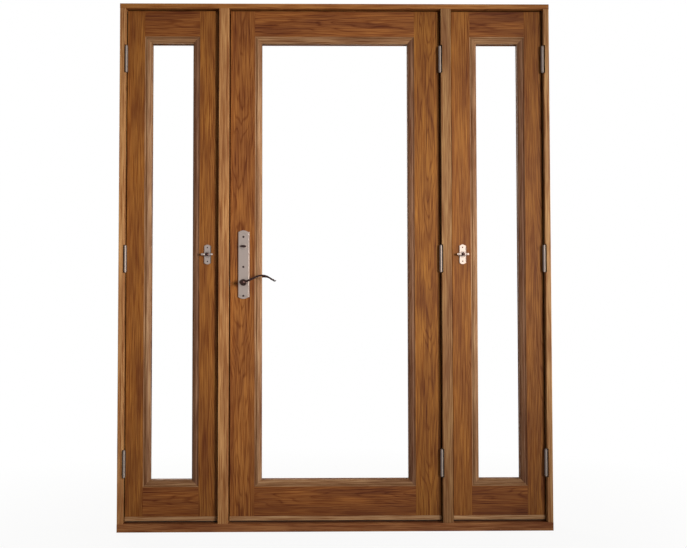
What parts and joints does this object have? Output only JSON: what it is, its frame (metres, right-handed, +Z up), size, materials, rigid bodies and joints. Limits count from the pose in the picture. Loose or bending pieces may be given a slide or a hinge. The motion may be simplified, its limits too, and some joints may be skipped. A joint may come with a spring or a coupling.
{
  "type": "french doors",
  "caption": "Glazed timber entrance set: one full-light door between two narrow opening side lights, in a rabbeted frame with sill, butt hinges, lever lock and side catches.",
  "frame": {"origin": "centre of the sill's underside, in the middle of the jambs' depth", "axes": "+X to the right as seen from the room, +Y from the room to the weather, +Z up"},
  "size_m": [1.664, 0.171, 2.0315],
  "materials": {
    "leaf_oak": "stained and clear coated, open grain",
    "frame_oak": "stained and clear coated, open grain",
    "strip_oak": "stained lighter and clear coated",
    "glass": "clear float glass",
    "seal_rubber": "matt brown",
    "spacer_aluminium": "matt mill finish",
    "satin_nickel": "satin nickel plate",
    "bolt_steel": "ground steel"
  },
  "bodies": {
    "frame": {"sill": "frame_oak", "head_jamb": "frame_oak", "left_jamb": "frame_oak", "right_jamb": "frame_oak", "left_mullion": "frame_oak", "right_mullion": "frame_oak", "left_weatherstrip": "seal_rubber", "main_weatherstrip": "seal_rubber", "right_weatherstrip": "seal_rubber", "main_strike_plate": "satin_nickel", "side_strike_plates": "satin_nickel", "frame_hinge_plates": "satin_nickel", "hinge_pins": "satin_nickel"},
    "main_leaf": {"main_hinge_stile": "leaf_oak", "main_lock_stile": "leaf_oak", "main_top_rail": "leaf_oak", "main_bottom_rail": "leaf_oak", "main_glazing_bead": "leaf_oak", "main_glass": "glass", "main_glass_spacer": "spacer_aluminium", "main_bottom_strip": "strip_oak", "main_sweep": "seal_rubber", "main_hinge_plates": "satin_nickel", "lock_case": "bolt_steel", "inside_escutcheon": "satin_nickel", "outside_escutcheon": "satin_nickel", "key_cylinder": "satin_nickel"},
    "left_leaf": {"left_hinge_stile": "leaf_oak", "left_lock_stile": "leaf_oak", "left_top_rail": "leaf_oak", "left_bottom_rail": "leaf_oak", "left_glazing_bead": "leaf_oak", "left_glass": "glass", "left_glass_spacer": "spacer_aluminium", "left_bottom_strip": "strip_oak", "left_sweep": "seal_rubber", "left_hinge_plates": "satin_nickel", "left_catch_plate": "satin_nickel"},
    "right_leaf": {"right_hinge_stile": "leaf_oak", "right_lock_stile": "leaf_oak", "right_top_rail": "leaf_oak", "right_bottom_rail": "leaf_oak", "right_glazing_bead": "leaf_oak", "right_glass": "glass", "right_glass_spacer": "spacer_aluminium", "right_bottom_strip": "strip_oak", "right_sweep": "seal_rubber", "right_hinge_plates": "satin_nickel", "right_catch_plate": "satin_nickel"},
    "levers": {"inside_lever": "satin_nickel", "outside_lever": "satin_nickel", "lever_spindle": "bolt_steel"},
    "latch": {"latch_bolt": "bolt_steel"},
    "turn": {"thumb_turn": "satin_nickel"},
    "bolt": {"dead_bolt": "bolt_steel"},
    "left_turn": {"left_catch_turn": "satin_nickel"},
    "left_bolt": {"left_catch_bolt": "bolt_steel"},
    "right_turn": {"right_catch_turn": "satin_nickel"},
    "right_bolt": {"right_catch_bolt": "bolt_steel"}
  },
  "joints": [
    {"name": "main_swing", "type": "hinge", "parent": "frame", "child": "main_leaf", "pos_m": [0.4085, -0.047, 1], "axis": [0, 0, 1], "range_deg": [0, 110]},
    {"name": "left_swing", "type": "hinge", "parent": "frame", "child": "left_leaf", "pos_m": [-0.8085, -0.047, 1], "axis": [0, 0, -1], "range_deg": [0, 100]},
    {"name": "right_swing", "type": "hinge", "parent": "frame", "child": "right_leaf", "pos_m": [0.8085, -0.047, 1], "axis": [0, 0, 1], "range_deg": [0, 100]},
    {"name": "lever_press", "type": "hinge", "parent": "main_leaf", "child": "levers", "pos_m": [-0.3545, -0.01075, 0.95], "axis": [0, 1, 0], "range_deg": [0, 45], "stiffness_Nm_per_rad": 0.8, "springref_deg": -28.65},
    {"name": "latch_slide", "type": "slide", "parent": "main_leaf", "child": "latch", "axis": [1, 0, 0], "range_m": [0, 0.012]},
    {"name": "turn_rotation", "type": "hinge", "parent": "main_leaf", "child": "turn", "pos_m": [-0.3545, -0.01075, 1.089], "axis": [0, 1, 0], "range_deg": [0, 90]},
    {"name": "bolt_slide", "type": "slide", "parent": "main_leaf", "child": "bolt", "axis": [-1, 0, 0], "range_m": [0, 0.025]},
    {"name": "left_catch_rotation", "type": "hinge", "parent": "left_leaf", "child": "left_turn", "pos_m": [-0.4935, -0.01075, 1.058], "axis": [0, -1, 0], "range_deg": [0, 90]},
    {"name": "left_catch_slide", "type": "slide", "parent": "left_leaf", "child": "left_bolt", "axis": [1, 0, 0], "range_m": [0, 0.014]},
    {"name": "right_catch_rotation", "type": "hinge", "parent": "right_leaf", "child": "right_turn", "pos_m": [0.4935, -0.01075, 1.058], "axis": [0, 1, 0], "range_deg": [0, 90]},
    {"name": "right_catch_slide", "type": "slide", "parent": "right_leaf", "child": "right_bolt", "axis": [-1, 0, 0], "range_m": [0, 0.014]}
  ],
  "couplings": [
    {"joint": "latch_slide", "follows": "lever_press", "m_per_rad": 0.015278},
    {"joint": "bolt_slide", "follows": "turn_rotation", "m_per_rad": 0.015915},
    {"joint": "left_catch_slide", "follows": "left_catch_rotation", "m_per_rad": 0.008912},
    {"joint": "right_catch_slide", "follows": "right_catch_rotation", "m_per_rad": 0.008912}
  ]
}
